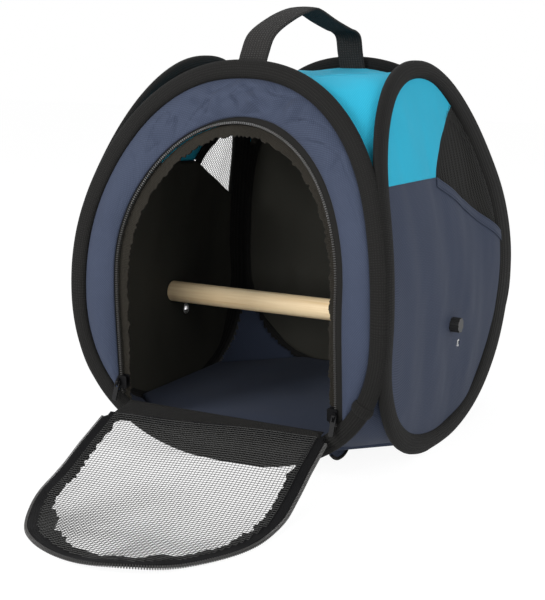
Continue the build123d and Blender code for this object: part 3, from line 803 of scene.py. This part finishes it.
def door_outline(angle, inset, low):
    """The door's outline, drawn in, along a ray from the doorway's middle."""
    half, rise = zip_half - inset, arch_rise - inset
    across, up = cos(angle), sin(angle)
    if up > 0:
        reach = 1 / sqrt((across / half) ** 2 + (up / rise) ** 2)
    else:
        reach = min(half / max(abs(across), 1e-6), (arch_spring - low) / max(-up, 1e-6))
    return across * reach, arch_spring + up * reach


def beside_sliders(place):
    """Draws the door's foot in, where the zip's sliders park beside it."""
    limit = zip_half - (0.0055 if place[1] < 0.0605 else 0.0)
    return max(min(place[0], limit), -limit), place[1]


def border_place(s, t):
    angle = 2 * pi * s - pi / 2
    fray = 0.004 * noise.noise(Vector((cos(angle) * 6, sin(angle) * 6, 5)))
    fray += 0.003 * noise.noise(Vector((cos(angle) * 22, sin(angle) * 22, 6)))
    outer = beside_sliders(door_outline(angle, 0.0028, door_low))
    wider = 1 + 0.5 * exp(-((cos(angle) + 0.6) ** 2 + (sin(angle) - 0.8) ** 2) / 0.2)
    inner = door_outline(angle, 0.0028 + border_width * wider + fray, door_low + border_width * 0.6)
    u, height = outer[0] + (inner[0] - outer[0]) * t, outer[1] + (inner[1] - outer[1]) * t
    pucker = noise.noise(Vector((u * 60, height * 60, 11))) * 0.0007
    return on_door(u, height, -0.00125 + pucker + 0.0004 * sin(pi * t))


border = thicken(lay("door_edge", border_place, 420, 8, (0.75, 0.012), (True, False)), 0.0016)
border_black = woven("door_border", (0.0038, 0.0038, 0.0042), 0.0012, rough=0.8, lighter=2.0, gloss=0.05)
border.data.materials.append(border_black)
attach(border, "door")
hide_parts("door_border")


def in_door(u, height):
    rise = max(height - arch_spring, 0) / (arch_rise - 0.009)
    return (u / (zip_half - 0.009)) ** 2 + rise ** 2 < 1 and height > door_low + 0.002


def door_belly(u, height):
    fold = noise.noise(Vector((u * 14, height * 14, 21))) * 0.0018
    return on_door(u, height, -0.0026 + fold * max(min((zip_half - abs(u)) / 0.04, 1), 0))


door_net = net("door_mesh", (-0.0975, 0.0975), (0.054, 0.27), in_door, door_belly)
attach(door_net, "door")
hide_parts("door_net")
teeth("door_teeth", -0.0019, sill + 0.024, on_door, "door", "door_zip_teeth")

# Hinge tape: a soft strip of black cloth that joins the door to the sill and folds over it.
# Below the sill a black sheet covers the front panel and makes it dark, where the open door hangs over it.
root = Vector((0, middle_y - wall_at(0.0372) - 0.0008, 0.0372))
tip = on_door(0, door_low, -0.00125)


def hinge_strip(s, t):
    u = -0.089 + 0.178 * s
    start = on_wall("front", u * 0.97, 0.0378, 0.0006)
    end = on_door(u, door_low + 0.002, -0.0012)
    arc = sin(pi * t) * 0.0016
    return start.lerp(end, t) + Vector((0, 0, arc))


hinge_tape = thicken(lay("sill_tape", hinge_strip, 60, 12, (0.178, 0.016)), 0.001)
hinge_tape.data.materials.append(black_tape)
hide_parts("door_hinge_tape")
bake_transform(hinge_tape)


# A black sheet laid over the front panel below the sill, which makes that part dark under the open door.
def sill_dark_sheet_place(s, t):
    u = -0.09 + 0.18 * s
    foot = egg_low(u, 0.01)
    return on_wall("front", u, foot + (sill + 0.0015 - foot) * t, 0.0014 + 0.0072 * sin(pi * t) ** 0.7)


sill_dark_sheet = thicken(lay("sill_dark_sheet", sill_dark_sheet_place, 60, 12, (0.18, 0.025)), 0.0008)
sill_dark_sheet.data.materials.append(black_tape)
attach(sill_dark_sheet, "cabin")


# Zip sliders and pulls: small cast metal, painted dull black.
zip_metal = plain_finish("zip_metal", (0.004, 0.004, 0.0045), 0.45, grain=300, shine=0.1)
for node in ("zip_slider_left", "zip_slider_right", "zip_pull_left", "zip_pull_right"):
    frame["nodes"][node].data.materials.clear()
    frame["nodes"][node].data.materials.append(zip_metal)


# Perch: a turned dowel of bare light wood from wall to wall, with its grain along its length.
# A screw through an eyelet holds each end, with a fluted plastic knob outside the wall.
wood = bpy.data.materials.new("perch_wood")
wood.use_nodes = True
wood_nodes, wood_links = wood.node_tree.nodes, wood.node_tree.links
wood_shader = wood_nodes["Principled BSDF"]
wood_shader.inputs["Roughness"].default_value = 0.55
wood_place = wood_nodes.new("ShaderNodeTexCoord")
wood_long = wood_nodes.new("ShaderNodeMapping")
wood_long.inputs["Scale"].default_value = (9, 260, 260)
wood_links.new(wood_place.outputs["Object"], wood_long.inputs["Vector"])
wood_grain = wood_nodes.new("ShaderNodeTexNoise")
wood_grain.inputs["Scale"].default_value = 1.0
wood_grain.inputs["Detail"].default_value = 8
wood_grain.inputs["Roughness"].default_value = 0.65
wood_links.new(wood_long.outputs["Vector"], wood_grain.inputs["Vector"])
wood_tone = wood_nodes.new("ShaderNodeValToRGB")
wood_tone.color_ramp.elements[0].position = 0.3
wood_tone.color_ramp.elements[0].color = (0.66, 0.47, 0.25, 1)
wood_tone.color_ramp.elements[1].position = 0.68
wood_tone.color_ramp.elements[1].color = (0.84, 0.68, 0.44, 1)
wood_links.new(wood_grain.outputs["Fac"], wood_tone.inputs["Fac"])
wood_links.new(wood_tone.outputs["Color"], wood_shader.inputs["Base Color"])
wood_bump = wood_nodes.new("ShaderNodeBump")
wood_bump.inputs["Strength"].default_value = 0.3
wood_bump.inputs["Distance"].default_value = 0.0003
wood_links.new(wood_grain.outputs["Fac"], wood_bump.inputs["Height"])
wood_links.new(wood_bump.outputs["Normal"], wood_shader.inputs["Normal"])
steel = plain_finish("screw_steel", (0.6, 0.6, 0.6), 0.3, metal=1.0)
bright = plain_finish("eyelet_metal", (0.9, 0.9, 0.9), 0.45, metal=0.6)
knob_black = plain_finish("black_plastic", (0.014, 0.014, 0.014), 0.4, shine=0.3)
board_grey = plain_finish("board", (0.05, 0.05, 0.05), 0.6)
finishes = {"perch": wood, "perch_screw_left": steel, "perch_screw_right": steel, "eyelets": bright,
            "perch_knob_left": knob_black, "perch_knob_right": knob_black, "base_board": board_grey}
for side in turns:
    finishes[side + "_hoop_wire"] = steel
for node, finish in finishes.items():
    frame["nodes"][node].data.materials.clear()
    frame["nodes"][node].data.materials.append(finish)


# Carry handle: one length of coarse ribbed webbing over the top, sewn to the front and back hoops.
# It bows up between them and keeps a soft crease near its back end from folding.
webbing = woven("webbing", (0.017, 0.0165, 0.016), 0.0024, rough=0.85, shade=0.2, depth=0.8, lighter=3.0)
strap_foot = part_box("handle_strap")[0]
strap_front = strap_foot.y + 0.001 - middle_y
strap_line = [(strap_front, 0.3095), (-0.0895, 0.325), (-0.078, 0.3405), (-0.045, 0.3535), (-0.012, 0.361),
              (0.004, 0.3605), (0.035, 0.3525), (0.066, 0.3455), (0.0795, 0.343), (0.0885, 0.3375),
              (0.0915, 0.323), (-strap_front, 0.3095)]


def smooth_line(points, share):
    """A point of the smooth curve through a line of points."""
    spot = min(share * (len(points) - 1), len(points) - 1.0001)
    low = int(spot)
    before, start, end, after = (Vector(points[min(max(low + i, 0), len(points) - 1)]) for i in (-1, 0, 1, 2))
    t = spot - low
    return 0.5 * (2 * start + (end - before) * t + (2 * before - 5 * start + 4 * end - after) * t * t
                  + (3 * start - before - 3 * end + after) * t ** 3)


def strap_place(s, t):
    middle = smooth_line(strap_line, t)
    curl = (s - 0.5) ** 2 * 0.004 * sin(pi * t)
    sway = 0.002 * sin(2 * pi * t)
    return Vector(((s - 0.5) * 0.0248 + sway, middle.x + middle_y, middle.y - curl))


strap = thicken(lay("handle_webbing", strap_place, 12, 150, (0.0248, 0.26)), 0.0018)
strap.data.materials.append(webbing)
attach(strap, "cabin")
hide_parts("handle_strap")


# Floor and light: a white table that runs up into a white background, under soft even light.
bpy.ops.mesh.primitive_plane_add(size=8, location=(0, 0, 0))
table = bpy.context.object
table.name = "table"
white = bpy.data.materials.new("white_table")
white.use_nodes = True
white.node_tree.nodes["Principled BSDF"].inputs["Base Color"].default_value = (0.9, 0.9, 0.9, 1)
white.node_tree.nodes["Principled BSDF"].inputs["Roughness"].default_value = 0.9
white_out = white.node_tree.nodes["Material Output"]
glow = white.node_tree.nodes.new("ShaderNodeEmission")
glow.inputs["Strength"].default_value = 1.08
seen = white.node_tree.nodes.new("ShaderNodeLightPath")
blend_white = white.node_tree.nodes.new("ShaderNodeMixShader")
share = white.node_tree.nodes.new("ShaderNodeMath")
share.operation = "MULTIPLY"
share.inputs[1].default_value = 0.86
any_view = white.node_tree.nodes.new("ShaderNodeMath")
any_view.operation = "MAXIMUM"
any_shine = white.node_tree.nodes.new("ShaderNodeMath")
any_shine.operation = "MAXIMUM"
white.node_tree.links.new(seen.outputs["Is Glossy Ray"], any_shine.inputs[0])
white.node_tree.links.new(seen.outputs["Is Transmission Ray"], any_shine.inputs[1])
white.node_tree.links.new(seen.outputs["Is Camera Ray"], any_view.inputs[0])
white.node_tree.links.new(any_shine.outputs["Value"], any_view.inputs[1])
white.node_tree.links.new(any_view.outputs["Value"], share.inputs[0])
white.node_tree.links.new(share.outputs["Value"], blend_white.inputs["Fac"])
white.node_tree.links.new(white.node_tree.nodes["Principled BSDF"].outputs["BSDF"], blend_white.inputs[1])
white.node_tree.links.new(glow.outputs["Emission"], blend_white.inputs[2])
white.node_tree.links.new(blend_white.outputs["Shader"], white_out.inputs["Surface"])
table.data.materials.append(white)
table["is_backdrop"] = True

world = bpy.data.worlds.new("studio")
bpy.context.scene.world = world
world.use_nodes = True
background = world.node_tree.nodes["Background"]
background.inputs["Color"].default_value = (1, 1, 1, 1)
paths = world.node_tree.nodes.new("ShaderNodeLightPath")
strength = 0.45
for ray in ("Is Camera Ray", "Is Glossy Ray", "Is Transmission Ray"):
    direct = world.node_tree.nodes.new("ShaderNodeMath")
    direct.operation = "MAXIMUM"
    world.node_tree.links.new(paths.outputs[ray], direct.inputs[0])
    if ray == "Is Camera Ray":
        direct.inputs[1].default_value = strength
    else:
        world.node_tree.links.new(before.outputs["Value"], direct.inputs[1])
    before = direct
world.node_tree.links.new(before.outputs["Value"], background.inputs["Strength"])


def soft_lamp(name, place, aim, size, power):
    bpy.ops.object.light_add(type="AREA", location=place)
    lamp = bpy.context.object
    lamp.name, lamp.data.size, lamp.data.energy = name, size, power
    lamp.rotation_euler = (Vector(aim) - Vector(place)).to_track_quat("-Z", "Y").to_euler()


soft_lamp("key_lamp", (-0.8, -1.3, 0.95), (0, 0.05, 0.13), 0.6, 19)
soft_lamp("front_lamp", (0.1, -1.7, 0.5), (0, 0.1, 0.12), 0.6, 15)
soft_lamp("side_lamp", (1.5, -0.6, 0.9), (0, 0.1, 0.15), 1.2, 12)
soft_lamp("top_lamp", (0.2, 0.5, 1.8), (0, 0.1, 0.2), 1.5, 3)


# Camera: at the photograph's viewpoint, in front, to the right and a little above.
azimuth, lift, roll = radians(27.236), radians(12.007), radians(0.72)
distance, focal_pixels, image_wide, image_tall = 1.14308, 1291.6, 545, 600
centre_x, centre_y = 302.28, 304.1
away = Vector((sin(azimuth) * cos(lift), -cos(azimuth) * cos(lift), sin(lift)))
camera_place = Vector((0, middle_y, 0.106)) + away * distance
level_right = Vector((0, 0, 1)).cross(away).normalized()
level_up = away.cross(level_right)
right = level_right * cos(roll) + level_up * sin(roll)
up = level_up * cos(roll) - level_right * sin(roll)
camera_data = bpy.data.cameras.new("camera")
camera_data.sensor_width = 36
camera_data.lens = focal_pixels * 36 / image_tall
camera_data.shift_x = -(centre_x - image_wide / 2) / image_tall
camera_data.shift_y = (centre_y - image_tall / 2) / image_tall
camera = bpy.data.objects.new("camera", camera_data)
bpy.context.collection.objects.link(camera)
camera.matrix_world = Matrix.Translation(camera_place) @ Matrix((right, up, away)).transposed().to_4x4()
bpy.context.scene.camera = camera
bpy.context.scene.view_settings.view_transform = "Standard"

boxes = {"cad": cad_box, "visual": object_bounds()}
{name: [list(corner) for corner in corners] for name, corners in boxes.items()}
